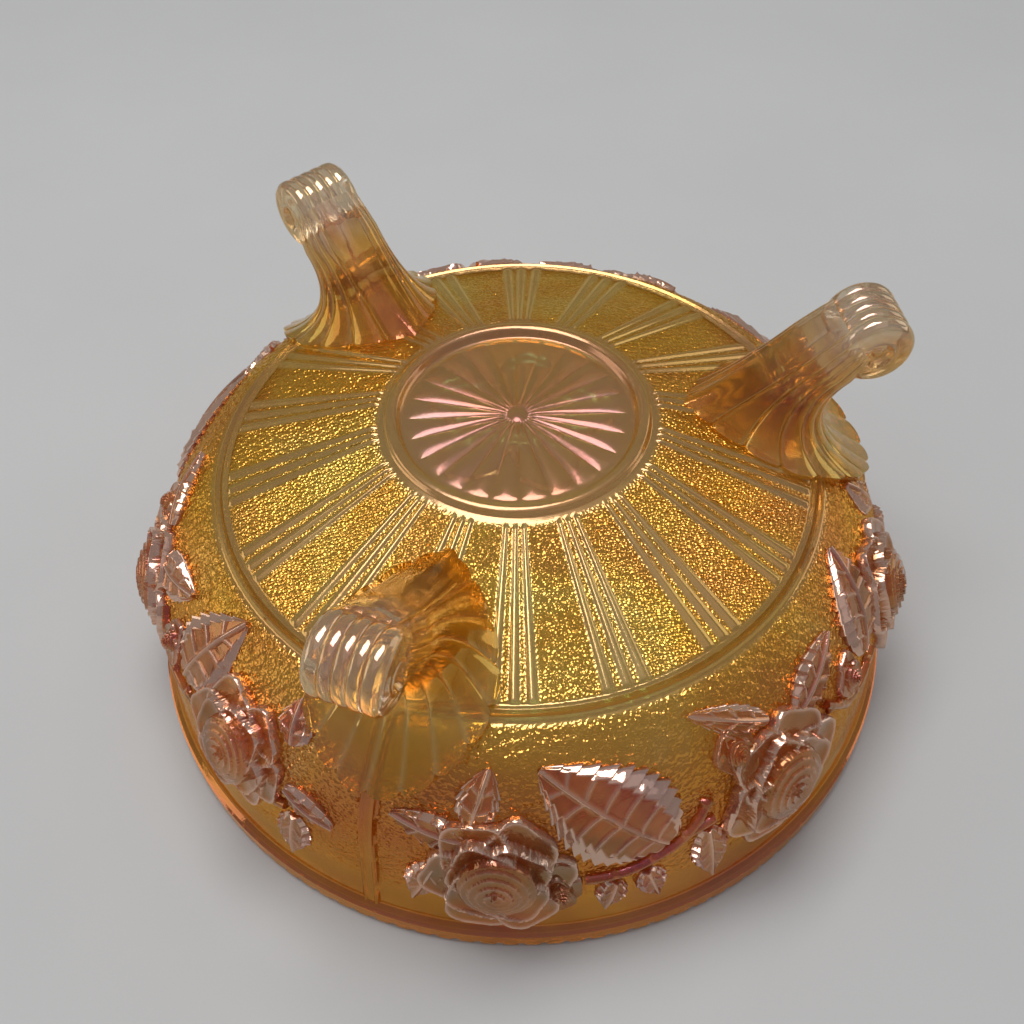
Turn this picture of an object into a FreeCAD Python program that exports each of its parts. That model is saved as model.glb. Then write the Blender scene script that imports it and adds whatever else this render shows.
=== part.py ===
"""Footed bowl of iridised pressed glass, lying mouth-down on its rim with its three scroll feet up.

Frame: millimetres, +Z up, origin on the bowl's axis in the plane of the rim.  The mould has three equal
side panels; a foot and a mould seam stand at azimuth 0, 120 and 240 degrees.
"""
import FreeCAD, Part
import math
import os

import Sketcher
from FreeCAD import Placement, Rotation, Vector

PANELS = 3                     # mould panels, and the feet between them
PANEL_ANGLE = 360.0 / PANELS
RIB_GROUPS = 18                # groups of radial ribs round the underside
GROUP_RIBS = (-1, 0, 1)        # places of the ribs in one group
RIM_NOTCHES = 120
STAR_RAYS = 24
FOOT_LOBES = 18                # scallops round one foot
KNOB_FLUTES = 5                # flutes across the width of a scroll
UP = Vector(0, 0, 1)

# ---------------------------------------------------------------------------------------------------
# Dimensions
# ---------------------------------------------------------------------------------------------------

size = {
    "glass": 4.5,              # wall thickness
    "rim_radius": 99.5,
    "rim_height": 8.0,
    "rim_bevel": 1.0,
    "rim_lip": 6.0,            # width of the face that the bowl lies on
    "groove_depth": 1.2,
    "ridge_depth": 0.5,
    "notch_depth": 0.8,
    "notch_width": 1.1,
    "notch_height": 1.7,
    "wall_foot": 97.6,         # outer radius just above the rim band
    "waist_radius": 94.5,
    "waist_height": 32.0,
    "shoulder_rise": 4.1,      # how far the shoulder's arc stands out from its chord
    "bead_outer": 75.0,
    "bead_inner": 71.5,
    "bead_rise": 0.9,
    "bead_level": 62.0,        # height of the surface at the bead's outer edge
    "collar_outer": 32.0,
    "collar_inner": 28.5,
    "collar_level": 77.3,
    "collar_rise": 1.5,
    "medal_drop": 0.6,         # the star's face lies below the collar's edge
    "ray_rise": 0.8,
    "ray_width": 1.6,
    "ray_start": 6.6,
    "ray_margin": 1.5,
    "hub_radius": 7.2,         # the rays' common middle
    "hub_rise": 1.0,
    "rib_rise": 0.8,
    "rib_width": 1.6,
    "rib_root": 1.0,           # how far ribs and rays reach down into the glass below them
    "rib_margin": 1.5,         # clear of the collar and of the bead
    "rib_pitch": 3.3,          # degrees between the ribs of one group
    "seam_width": 4.0,
    "seam_rise": 0.5,
    "knob_radius": 9.0,
    "knob_width": 17.5,
    "knob_reach": 84.0,        # distance of a foot's scroll from the bowl's axis
    "knob_level": 90.8,
    "flute_depth": 0.6,
    "eye_radius": 3.4,
    "eye_depth": 1.2,
    "foot_lobe": 0.055,        # rise of a foot's scallop, as a share of its section
    "foot_point": 0.75,        # how far a foot's base narrows to its inner point
    "petal_low": 2.8,
    "petal_mid": 4.6,
    "petal_high": 6.5,
    "leaf_rise": 2.4,
    "midrib_rise": 3.0,
    "midrib_width": 1.3,
    "stem_rise": 2.2,
    "stem_width": 2.4,
}


def bulge_radius(start, end, rise):
    """Radius of the arc that joins two points and stands out from their chord by rise."""
    half = math.dist(start, end) / 2.0
    return (half ** 2 + rise ** 2) / (2.0 * rise)


def arc_centre(start, end, radius):
    """Centre of the shorter arc that turns anticlockwise from start to end."""
    half = math.dist(start, end) / 2.0
    middle = ((start[0] + end[0]) / 2.0, (start[1] + end[1]) / 2.0)
    along = ((end[0] - start[0]) / (2.0 * half), (end[1] - start[1]) / (2.0 * half))
    depth = math.sqrt(radius ** 2 - half ** 2)
    return middle[0] - along[1] * depth, middle[1] + along[0] * depth


def cone_level(radius):
    """Height of the underside's shallow cone at a distance from the axis."""
    fall = (size["collar_level"] - size["bead_level"]) / (size["bead_outer"] - size["collar_outer"])
    return size["collar_level"] - fall * (radius - size["collar_outer"])


def derived_sizes():
    """The dimensions that follow from the driving ones."""
    waist = (size["waist_radius"], size["waist_height"])
    bead_edge = (size["bead_outer"], size["bead_level"])
    bead_middle = (size["bead_outer"] + size["bead_inner"]) / 2.0
    collar_middle = (size["collar_outer"] + size["collar_inner"]) / 2.0
    collar_edge = (size["collar_outer"], size["collar_level"])
    collar_top = (collar_middle, size["collar_level"] + size["collar_rise"])
    shoulder = bulge_radius(waist, bead_edge, size["shoulder_rise"])
    tilt = math.atan2(size["collar_level"] - size["bead_level"], size["bead_outer"] - size["collar_outer"])
    drop = size["glass"] / math.cos(tilt)
    medal_face = size["collar_level"] - size["medal_drop"]
    rib_start = size["collar_outer"] + size["rib_margin"]
    rib_end = size["bead_inner"] - size["rib_margin"]
    return {
        "rim_inner": size["rim_radius"] - size["rim_lip"],
        "rim_edge": size["rim_radius"] - size["rim_bevel"],
        "band_top": size["rim_height"] * 0.68,
        "groove_low": size["rim_height"] * 0.76,
        "ridge_level": size["rim_height"] * 0.84,
        "groove_high": size["rim_height"] * 0.92,
        "groove_floor": size["rim_radius"] - size["groove_depth"],
        "ridge_radius": size["rim_radius"] - size["ridge_depth"],
        "notch_floor": size["rim_radius"] - size["notch_depth"],
        "notch_clear": size["rim_radius"] + size["rim_bevel"],
        "wall_foot_inner": size["wall_foot"] - size["glass"],
        "waist_inner": size["waist_radius"] - size["glass"],
        "shoulder_radius": shoulder,
        "shoulder_inner": shoulder - size["glass"],
        "bead_floor": size["bead_level"] - drop,
        "bead_middle": bead_middle,
        "bead_middle_level": cone_level(bead_middle) + size["bead_rise"] / 4.0,
        "bead_arc": (size["bead_outer"] - bead_middle) * 0.6,
        "bead_inner_level": cone_level(size["bead_inner"]),
        "bead_inner_floor": cone_level(size["bead_inner"]) - drop,
        "collar_floor": size["collar_level"] - drop,
        "collar_middle": collar_middle,
        "collar_top": collar_top[1],
        "collar_arc": bulge_radius(collar_edge, collar_top, size["collar_rise"] / 4.0),
        "medal_face": medal_face,
        "ray_end": size["collar_inner"] - size["ray_margin"],
        "ray_floor": medal_face - size["rib_root"],
        "ray_top": medal_face + size["ray_rise"],
        "hub_top": medal_face + size["hub_rise"],
        "rib_start": rib_start,
        "rib_end": rib_end,
        "rib_start_floor": cone_level(rib_start) - size["rib_root"],
        "rib_end_floor": cone_level(rib_end) - size["rib_root"],
        "rib_start_top": cone_level(rib_start) + size["rib_rise"],
        "rib_end_top": cone_level(rib_end) + size["rib_rise"],
    }


size.update(derived_sizes())
doc = FreeCAD.newDocument("FootedBowl")
sheet = doc.addObject("Spreadsheet::Sheet", "Sizes")
for row, (alias, value) in enumerate(size.items(), start=1):
    sheet.set("A%d" % row, alias)
    sheet.set("B%d" % row, "%.6f" % value)
    sheet.setAlias("B%d" % row, alias)
doc.recompute()

# ---------------------------------------------------------------------------------------------------
# Sketches and features
# ---------------------------------------------------------------------------------------------------


def new_body(label):
    body = doc.addObject("PartDesign::Body", label)
    body.Label = label
    return body


def origin_item(body, role):
    return next(item for item in body.Origin.OriginFeatures if item.Role == role)


def new_sketch(body, name, role, turn=0.0):
    """A sketch on one of the body's origin planes, turned by an angle round the bowl's axis."""
    sketch = body.newObject("Sketcher::SketchObject", name)
    sketch.AttachmentSupport = (origin_item(body, role), "")
    sketch.MapMode = "FlatFace"
    sketch.AttachmentOffset = Placement(Vector(0, 0, 0), Rotation(Vector(0, 1, 0), turn))
    return sketch


def bind(sketch, constraint, alias):
    number = sketch.addConstraint(constraint)
    sketch.setExpression("Constraints[%d]" % number, "Sizes." + alias)


def pin(sketch, edge, end, axis, alias):
    """Binds one coordinate of an edge's end to a cell, or to zero where there is no cell."""
    if alias is None:
        sketch.addConstraint(Sketcher.Constraint("PointOnObject", edge, end, -1 if axis == "Y" else -2))
    else:
        bind(sketch, Sketcher.Constraint("Distance" + axis, -1, 1, edge, end, size[alias]), alias)


def outline(sketch, corners, arcs=None):
    """A closed outline through corners that are named by their cells.

    arcs gives, for the edge that starts at a corner, its radius cell and its side: 1 for an arc that
    turns anticlockwise along the outline and -1 for one that turns clockwise.
    """
    arcs = arcs or {}
    points = [tuple(0.0 if alias is None else size[alias] for alias in corner) for corner in corners]
    starts = []
    for index, start in enumerate(points):
        end = points[(index + 1) % len(points)]
        alias, side = arcs.get(index, (None, 1))
        starts.append(1 if side > 0 else 2)
        if alias is None:
            sketch.addGeometry(Part.LineSegment(Vector(*start, 0), Vector(*end, 0)))
            continue
        first, last = (start, end) if side > 0 else (end, start)
        centre = arc_centre(first, last, size[alias])
        begin = math.atan2(first[1] - centre[1], first[0] - centre[0])
        finish = math.atan2(last[1] - centre[1], last[0] - centre[0])
        circle = Part.Circle(Vector(*centre, 0), UP, size[alias])
        sketch.addGeometry(Part.ArcOfCircle(circle, begin, finish))
    for index, (across, up) in enumerate(corners):
        following = (index + 1) % len(points)
        sketch.addConstraint(Sketcher.Constraint(
            "Coincident", index, 3 - starts[index], following, starts[following]))
        pin(sketch, index, starts[index], "X", across)
        pin(sketch, index, starts[index], "Y", up)
    for index, (alias, _) in arcs.items():
        bind(sketch, Sketcher.Constraint("Radius", index, size[alias]), alias)


def strip(sketch, near, far, width):
    """A radial strip from one distance to another, centred on the sketch's X axis."""
    half = size[width] / 2.0
    corners = [(size[near], -half), (size[far], -half), (size[far], half), (size[near], half)]
    for index, corner in enumerate(corners):
        sketch.addGeometry(Part.LineSegment(Vector(*corner, 0), Vector(*corners[(index + 1) % 4], 0)))
    for index in range(4):
        sketch.addConstraint(Sketcher.Constraint("Coincident", index, 2, (index + 1) % 4, 1))
    for kind, index in (("Horizontal", 0), ("Horizontal", 2), ("Vertical", 3)):
        sketch.addConstraint(Sketcher.Constraint(kind, index))
    sketch.addConstraint(Sketcher.Constraint("Symmetric", 1, 1, 1, 2, -1))
    pin(sketch, 0, 1, "X", near)
    pin(sketch, 0, 2, "X", far)
    bind(sketch, Sketcher.Constraint("DistanceY", 1, 1, 1, 2, size[width]), width)


def turned(body, name, corners, arcs=None):
    """A full turn of an outline round the bowl's axis."""
    sketch = new_sketch(body, name + "Profile", "XZ_Plane")
    outline(sketch, corners, arcs)
    revolution = body.newObject("PartDesign::Revolution", name)
    revolution.Profile = sketch
    revolution.ReferenceAxis = (sketch, ["V_Axis"])
    revolution.Angle = 360.0


def upright_rib(body, name, corners, width, turn=0.0):
    """A narrow rib whose side view is the outline."""
    sketch = new_sketch(body, name + "Outline", "XZ_Plane", turn)
    outline(sketch, corners)
    rib = body.newObject("PartDesign::Pad", name)
    rib.Profile = sketch
    rib.Midplane = True
    rib.setExpression("Length", "Sizes." + width)
    return rib


def repeat(body, name, features, count):
    """Repeats features round the bowl's axis."""
    pattern = body.newObject("PartDesign::PolarPattern", name)
    pattern.Originals = features
    pattern.Axis = (origin_item(body, "Z_Axis"), [""])
    pattern.Angle = 360.0
    pattern.Occurrences = count
    body.Tip = pattern


# ---------------------------------------------------------------------------------------------------
# Turned zones of the pressing, from the rim up to the star
# ---------------------------------------------------------------------------------------------------


def rim_band():
    """The band round the mouth: a flat lip, two fine grooves and a notched edge."""
    body = new_body("rim_band")
    turned(body, "Band", [
        ("rim_inner", None), ("rim_edge", None), ("rim_radius", "rim_bevel"), ("rim_radius", "band_top"),
        ("groove_floor", "groove_low"), ("ridge_radius", "ridge_level"), ("groove_floor", "groove_high"),
        ("wall_foot", "rim_height"), ("wall_foot_inner", "rim_height")])
    sketch = new_sketch(body, "NotchOutline", "XY_Plane")
    strip(sketch, "notch_floor", "notch_clear", "notch_width")
    notch = body.newObject("PartDesign::Pocket", "Notch")
    notch.Profile = sketch
    notch.Reversed = True
    notch.setExpression("Length", "Sizes.notch_height")
    repeat(body, "Notches", [notch], RIM_NOTCHES)
    return body


def side_wall():
    """The stippled side: nearly upright to the waist, then curved in over the shoulder."""
    body = new_body("side_wall")
    turned(body, "Wall", [
        ("wall_foot_inner", "rim_height"), ("wall_foot", "rim_height"), ("waist_radius", "waist_height"),
        ("bead_outer", "bead_level"), ("bead_outer", "bead_floor"), ("waist_inner", "waist_height")],
        arcs={2: ("shoulder_radius", 1), 4: ("shoulder_inner", -1)})
    return body


def bead_ring():
    """The raised double bead between the side and the ribbed underside."""
    body = new_body("bead_ring")
    turned(body, "Bead", [
        ("bead_inner", "bead_inner_floor"), ("bead_outer", "bead_floor"), ("bead_outer", "bead_level"),
        ("bead_middle", "bead_middle_level"), ("bead_inner", "bead_inner_level")],
        arcs={2: ("bead_arc", 1), 3: ("bead_arc", 1)})
    return body


def ribbed_base():
    """The shallow cone of the underside, with its groups of narrow radial ribs."""
    body = new_body("ribbed_base")
    turned(body, "Cone", [
        ("collar_outer", "collar_floor"), ("bead_inner", "bead_inner_floor"),
        ("bead_inner", "bead_inner_level"), ("collar_outer", "collar_level")])
    side_view = [("rib_start", "rib_start_floor"), ("rib_end", "rib_end_floor"),
                 ("rib_end", "rib_end_top"), ("rib_start", "rib_start_top")]
    ribs = [upright_rib(body, "Rib%d" % number, side_view, "rib_width", place * size["rib_pitch"])
            for number, place in enumerate(GROUP_RIBS, start=1)]
    repeat(body, "RibGroups", ribs, RIB_GROUPS)
    return body


def collar_ring():
    """The smooth raised ring round the star."""
    body = new_body("collar_ring")
    turned(body, "Collar", [
        ("collar_inner", "collar_floor"), ("collar_outer", "collar_floor"), ("collar_outer", "collar_level"),
        ("collar_middle", "collar_top"), ("collar_inner", "collar_level")],
        arcs={2: ("collar_arc", 1), 3: ("collar_arc", 1)})
    return body


def star_medallion():
    """The disc inside the collar, with its many-rayed star."""
    body = new_body("star_medallion")
    turned(body, "Disc", [
        (None, "collar_floor"), ("collar_inner", "collar_floor"), ("collar_inner", "medal_face"),
        ("hub_radius", "medal_face"), ("hub_radius", "hub_top"), (None, "hub_top")])
    ray = upright_rib(body, "Ray", [
        ("ray_start", "ray_floor"), ("ray_end", "ray_floor"), ("ray_end", "medal_face"),
        ("ray_start", "ray_top")], "ray_width")
    repeat(body, "Star", [ray], STAR_RAYS)
    return body


# ---------------------------------------------------------------------------------------------------
# Carved shapes that follow the curved side
# ---------------------------------------------------------------------------------------------------


def cell(alias):
    """A dimension as the sheet holds it, in millimetres."""
    return float(getattr(sheet, alias))


def carved(label, shape):
    """A sub-part whose free shape is set directly, because no sketched feature gives its form."""
    feature = doc.addObject("Part::Feature", label)
    feature.Label = label
    feature.Shape = shape
    return feature


def turn_to(shape, azimuth):
    copy = shape.copy()
    copy.rotate(Vector(0, 0, 0), UP, azimuth)
    return copy


def revolved(points_and_arcs):
    """The solid of a closed half-section made of edges in the XZ plane."""
    return Part.Face(Part.Wire(points_and_arcs)).revolve(Vector(0, 0, 0), UP, 360.0)


def section_point(radius, height):
    return Vector(radius, 0, height)


def wall_sections():
    """Centre of the shoulder's arc, and its angles at the waist, in the middle and at the bead."""
    waist = (cell("waist_radius"), cell("waist_height"))
    bead = (cell("bead_outer"), cell("bead_level"))
    centre = arc_centre(waist, bead, cell("shoulder_radius"))
    angles = [math.atan2(point[1] - centre[1], point[0] - centre[0]) for point in (waist, bead)]
    return centre, (angles[0], sum(angles) / 2.0, angles[1])


def shoulder_points(lift):
    """Start, middle and end of the shoulder's arc, raised off the glass by lift."""
    centre, angles = wall_sections()
    reach = cell("shoulder_radius") + lift
    return [section_point(centre[0] + reach * math.cos(a), centre[1] + reach * math.sin(a)) for a in angles]


def wall_line(lift):
    """Edges of the wall's outer line from just above the rim band to the bead, raised by lift."""
    start, middle, end = shoulder_points(lift)
    foot = section_point(cell("wall_foot") + lift, cell("rim_height"))
    return [Part.LineSegment(foot, start).toShape(), Part.Arc(start, middle, end).toShape()]


def layer(rise):
    """The layer of glass that lies on the wall, rise thick."""
    inner, outer = wall_line(0.0), wall_line(rise)
    ends = [Part.LineSegment(a.Vertexes[which].Point, b.Vertexes[which].Point).toShape()
            for a, b, which in ((inner[0], outer[0], 0), (inner[1], outer[1], 1))]
    return revolved(Part.sortEdges(inner + outer + ends)[0])


def bowl_core():
    """The bowl's outer form as one full solid, which the feet stand on."""
    foot_edge, arc = wall_line(0.0)
    axis_top = section_point(0, cell("collar_level"))
    stops = [foot_edge.Vertexes[0].Point, section_point(0, cell("rim_height")), axis_top,
             section_point(cell("collar_outer"), cell("collar_level")), arc.Vertexes[1].Point]
    lines = [Part.LineSegment(a, b).toShape() for a, b in zip(stops, stops[1:])]
    return revolved(Part.sortEdges([foot_edge, arc] + lines)[0])


def prism(azimuth, height, outline_points):
    """A prism that runs straight out through the wall; outline points are (across, up) on the wall."""
    inner_reach, outer_reach = cell("collar_outer"), cell("rim_radius") * 1.2
    corners = [Vector(inner_reach, across, height + up) for across, up in outline_points]
    face = Part.Face(Part.makePolygon(corners + corners[:1]))
    return turn_to(face.extrude(Vector(outer_reach - inner_reach, 0, 0)), azimuth)


def turned_outline(points, angle):
    """Outline points turned in the wall's face: angle 0 points along the rim, 90 towards the feet."""
    cosine, sine = math.cos(math.radians(angle)), math.sin(math.radians(angle))
    return [(x * cosine - y * sine, x * sine + y * cosine) for x, y in points]


def leaf_outline(length, width, teeth=6):
    """A saw-edged leaf along +X, centred on its middle."""
    edge = []
    for step in range(teeth):
        for share, spread in ((step / teeth, 0.84), ((step + 0.7) / teeth, 1.0)):
            half = width / 2.0 * spread * math.sin(math.pi * (0.08 + 0.92 * share) ** 0.85)
            edge.append((length * (share - 0.5), half))
    return [(length / 2.0, 0.0)] + edge[::-1] + [(x, -y) for x, y in edge]


def petal_outline(radius, petals, turn=0.0, points_each=6):
    """A ring of rounded petals."""
    total = petals * points_each
    outline_points = []
    for step in range(total):
        angle = 2.0 * math.pi * step / total
        reach = radius * (0.88 + 0.12 * abs(math.sin(petals * angle / 2.0)))
        outline_points.append((reach * math.cos(angle + turn), reach * math.sin(angle + turn)))
    return outline_points


def single_solid(shape, what):
    if len(shape.Solids) != 1:
        raise RuntimeError("%s has %d solids" % (what, len(shape.Solids)))
    return shape.Solids[0]


# Azimuth from the panel's left seam in degrees, height in millimetres, radius in millimetres.
ROSES = {"lower": (18.0, 30.0, 15.0), "side": (60.0, 34.0, 15.0), "upper": (97.0, 39.0, 13.5)}

# Azimuth, height, direction of the tip, length and width.
LEAVES = [
    (33.0, 46.0, 137.0, 36.0, 25.0),
    (86.0, 51.5, 68.0, 27.0, 18.0),
    (8.5, 43.0, 165.0, 17.0, 9.0),
    (15.5, 51.0, 75.0, 14.0, 9.0),
    (8.0, 25.0, 250.0, 16.0, 9.0),
    (33.0, 19.5, 255.0, 10.0, 7.0),
    (39.0, 20.0, 285.0, 11.0, 7.0),
    (47.5, 23.0, 275.0, 20.0, 9.0),
    (53.5, 55.0, 150.0, 20.0, 6.5),
    (70.5, 51.0, 25.0, 20.0, 11.0),
    (106.5, 54.0, 95.0, 11.0, 9.0),
    (111.0, 36.0, -20.0, 14.0, 8.0),
    (108.0, 22.0, 265.0, 16.0, 9.0),
]

# Azimuth, height and radius of the closed buds.
BUDS = [(26.5, 24.0, 5.0), (53.0, 49.0, 5.5), (77.0, 42.0, 5.0)]

# Each stem is a run of (azimuth, height) points along the wall.
STEMS = [
    [(29.5, 27.0), (34.0, 27.0), (39.0, 29.5), (44.0, 34.5), (47.5, 42.0)],
    [(70.5, 42.5), (75.0, 36.0), (80.0, 34.0), (86.0, 36.0)],
    [(44.0, 34.5), (48.0, 35.5)],
    [(104.0, 31.0), (107.0, 32.0)],
]


def rose_shape(azimuth, height, radius):
    """Three rings of petals, each inner ring standing higher off the wall."""
    rings = ((1.0, 6, 0.0, "petal_low"), (0.72, 5, 0.4, "petal_mid"), (0.46, 4, 0.9, "petal_high"))
    tiers = []
    for share, petals, turn, rise in rings:
        ring = prism(azimuth, height, petal_outline(radius * share, petals, turn))
        tiers.append(ring.common(layers[rise]))
    return single_solid(tiers[0].multiFuse(tiers[1:]), "rose")


def leaf_shape(azimuth, height, direction, length, width):
    """A saw-edged leaf with a raised midrib."""
    blade = prism(azimuth, height, turned_outline(leaf_outline(length, width), direction))
    half = cell("midrib_width") / 2.0
    reach = length * 0.44
    spine = [(-reach, -half), (reach, -half), (reach, half), (-reach, half)]
    rib = prism(azimuth, height, turned_outline(spine, direction))
    return single_solid(blade.common(layers["leaf_rise"]).fuse(rib.common(layers["midrib_rise"])), "leaf")


def bud_shape(azimuth, height, radius):
    """A closed bud: one ring of petals round a higher heart."""
    skirt = prism(azimuth, height, petal_outline(radius, 3, 0.5)).common(layers["petal_low"])
    heart = prism(azimuth, height, petal_outline(radius * 0.6, 3, 0.2)).common(layers["petal_mid"])
    return single_solid(skirt.fuse(heart), "bud")


def stem_shape(points):
    """A rounded stem through the points, one short length to each azimuth."""
    half = cell("stem_width") / 2.0
    lengths = []
    for (azimuth, height), (next_azimuth, next_height) in zip(points, points[1:]):
        span = math.radians(next_azimuth - azimuth) * cell("waist_radius")
        reach = math.hypot(span, next_height - height) / 2.0 + half * 0.6
        bar = [(-reach, -half), (reach, -half), (reach, half), (-reach, half)]
        direction = math.degrees(math.atan2(next_height - height, span))
        middle = ((azimuth + next_azimuth) / 2.0, (height + next_height) / 2.0)
        lengths.append(prism(*middle, turned_outline(bar, direction)).common(layers["stem_rise"]))
    return single_solid(lengths[0].multiFuse(lengths[1:]) if lengths[1:] else lengths[0], "stem")


def without(shape, neighbours):
    """The pieces of a shape that its neighbours leave free."""
    near = [other for other in neighbours if other.BoundBox.intersect(shape.BoundBox)]
    return shape.cut(near).Solids if near else shape.Solids


def relief(foot):
    """Solids of one panel's garland by kind; roses lie over leaves, and leaves over buds and stems."""
    feet = [foot, turn_to(foot, PANEL_ANGLE)]
    roses = {name: rose_shape(*place) for name, place in ROSES.items()}
    taken = feet + list(roses.values())
    leaves = []
    for place in LEAVES:
        leaves += without(leaf_shape(*place), taken + leaves)
    taken += leaves
    buds = [piece for place in BUDS for piece in without(bud_shape(*place), taken)]
    taken += buds
    stems = []
    for points in STEMS:
        stems += without(stem_shape(points), taken + stems)
    return roses, {"leaves": leaves, "buds": buds, "stems": stems}


# ---------------------------------------------------------------------------------------------------
# Feet
# ---------------------------------------------------------------------------------------------------

# Sections of the horn from inside the bowl up to the scroll: distance from the axis, height, lean of the
# horn from upright in degrees, half depth, half width, and the share of the base's inner point left.
HORN = [
    (65.0, 55.0, 24.0, 24.5, 21.5, 1.0),
    (66.0, 67.0, 22.0, 18.0, 17.5, 0.8),
    (69.0, 77.0, 24.0, 12.0, 12.5, 0.35),
    (74.0, 85.5, 32.0, 8.8, 9.8, 0.0),
    (80.5, 92.0, 50.0, 7.2, 8.8, 0.0),
]


def horn_section(reach, height, lean, depth, width, point):
    """A scalloped ring across the horn, drawn in to a point on the side towards the star."""
    lean = math.radians(lean)
    outward = Vector(math.cos(lean), 0, -math.sin(lean))
    centre = Vector(reach, 0, height)

    def ring(angle, swell):
        narrow = 1.0 - cell("foot_point") * point * math.sin(angle / 2.0) ** 6
        across = width * math.sin(angle) * narrow * swell
        return centre + outward * (depth * math.cos(angle) * swell) + Vector(0, across, 0)

    edges = []
    for lobe in range(FOOT_LOBES):
        start, end = (2.0 * math.pi * (lobe + step) / FOOT_LOBES for step in (0, 1))
        swell = 1.0 + cell("foot_lobe")
        arc = Part.Arc(ring(start, 1.0), ring((start + end) / 2.0, swell), ring(end, 1.0))
        edges.append(arc.toShape())
    return Part.Wire(edges)


def knob():
    """The rolled scroll at a foot's end, fluted round its roll, with a sunk eye on each side."""
    radius, depth = cell("knob_radius"), cell("flute_depth")
    half = cell("knob_width") / 2.0
    shoulder = half * 0.86
    pitch = 2.0 * shoulder / KNOB_FLUTES
    stops = [-shoulder + pitch * index for index in range(KNOB_FLUTES + 1)]
    eye, floor = cell("eye_radius"), half - cell("eye_depth")

    def at(across, reach):
        return Vector(reach, across, 0)

    edges = [Part.Arc(at(a, radius - depth), at((a + b) / 2.0, radius), at(b, radius - depth)).toShape()
             for a, b in zip(stops, stops[1:])]
    for side in (1, -1):
        line = [at(side * shoulder, radius - depth), at(side * half, radius * 0.7), at(side * half, eye),
                at(side * floor, eye * 0.6), at(side * floor, 0)]
        edges += [Part.LineSegment(a, b).toShape() for a, b in zip(line, line[1:])]
    edges.append(Part.LineSegment(at(floor, 0), at(-floor, 0)).toShape())
    face = Part.Face(Part.Wire(Part.sortEdges(edges)[0]))
    roll = face.revolve(Vector(0, 0, 0), Vector(0, 1, 0), 360.0)
    roll.translate(Vector(cell("knob_reach"), 0, cell("knob_level")))
    return roll


def foot_shape(neighbours):
    """A fluted horn that rises from the shoulder and rolls outward into a scroll, at azimuth 0."""
    horn = Part.makeLoft([horn_section(*section) for section in HORN], True, False)
    whole = horn.fuse(knob()).cut(bowl_core()).cut(neighbours)
    return max(whole.Solids, key=lambda solid: solid.Volume)


def seam_shape(foot):
    """The flat raised line that the mould's joint leaves, from the rim band up to the foot."""
    half = cell("seam_width") / 2.0
    low, high = cell("rim_height"), cell("bead_level")
    line = prism(0.0, low, [(-half, 0), (half, 0), (half, high - low), (-half, high - low)])
    return max(line.common(layer(cell("seam_rise"))).cut(foot).Solids, key=lambda solid: solid.Volume)


# ---------------------------------------------------------------------------------------------------
# The whole bowl
# ---------------------------------------------------------------------------------------------------

turned_parts = [rim_band(), side_wall(), bead_ring(), ribbed_base(), collar_ring(), star_medallion()]
doc.recompute()
zones = {body.Label: body.Shape for body in turned_parts}

layers = {name: layer(cell(name)) for name in (
    "petal_low", "petal_mid", "petal_high", "leaf_rise", "midrib_rise", "stem_rise")}
foot = foot_shape([zones["bead_ring"], zones["ribbed_base"]])
seam = seam_shape(foot)
roses, garland = relief(foot)
carved_parts = []
for panel in range(PANELS):
    azimuth = panel * PANEL_ANGLE
    number = panel + 1
    carved_parts.append(carved("foot_%d" % number, turn_to(foot, azimuth)))
    carved_parts.append(carved("mould_seam_%d" % number, turn_to(seam, azimuth)))
    for name, shape in roses.items():
        carved_parts.append(carved("%s_rose_%d" % (name, number), turn_to(shape, azimuth)))
    for name, solids in garland.items():
        group = Part.makeCompound([turn_to(solid, azimuth) for solid in solids])
        carved_parts.append(carved("%s_%d" % (name, number), group))
doc.recompute()

# ---------------------------------------------------------------------------------------------------
# Checks and files
# ---------------------------------------------------------------------------------------------------

for item in doc.Objects:
    if "Invalid" in item.State or "Error" in item.State:
        raise RuntimeError("%s did not rebuild: %s" % (item.Label, item.State))
os.makedirs("parts", exist_ok=True)
for part in turned_parts + carved_parts:
    if part.Shape.isNull() or not part.Shape.isValid():
        raise RuntimeError("%s has no valid shape" % part.Label)
    part.Shape.exportStep("parts/%s.step" % part.Label)
    print("%-16s %2d solids %10.1f mm3" % (part.Label, len(part.Shape.Solids), part.Shape.Volume))
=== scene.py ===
"""Looks of a footed carnival glass bowl that lies mouth-down on its rim, with its three scroll feet up.

Lengths are millimetres until a mesh is made; materials and the stage are in metres.  Azimuths are measured
round the bowl's axis from +X, where foot_1 stands.  A place on the wall is an azimuth and a distance up the
wall's outer line.
"""

import math

import bmesh
import bpy
import numpy as np
from mathutils import Matrix, Vector


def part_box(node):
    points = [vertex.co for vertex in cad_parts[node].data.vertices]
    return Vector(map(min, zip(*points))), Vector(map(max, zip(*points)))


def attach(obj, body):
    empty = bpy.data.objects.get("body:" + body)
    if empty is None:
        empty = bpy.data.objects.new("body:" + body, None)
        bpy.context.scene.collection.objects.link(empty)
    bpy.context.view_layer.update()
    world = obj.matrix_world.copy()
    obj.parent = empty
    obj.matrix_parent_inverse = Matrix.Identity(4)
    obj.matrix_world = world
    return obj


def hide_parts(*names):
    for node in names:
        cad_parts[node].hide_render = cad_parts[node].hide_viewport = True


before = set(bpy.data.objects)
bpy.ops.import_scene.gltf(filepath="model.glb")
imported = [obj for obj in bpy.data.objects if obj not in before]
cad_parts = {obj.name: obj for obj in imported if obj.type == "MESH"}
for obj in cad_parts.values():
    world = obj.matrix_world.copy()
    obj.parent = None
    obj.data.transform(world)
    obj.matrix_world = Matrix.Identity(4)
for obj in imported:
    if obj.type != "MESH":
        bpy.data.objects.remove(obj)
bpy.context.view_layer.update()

MM = 0.001
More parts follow.
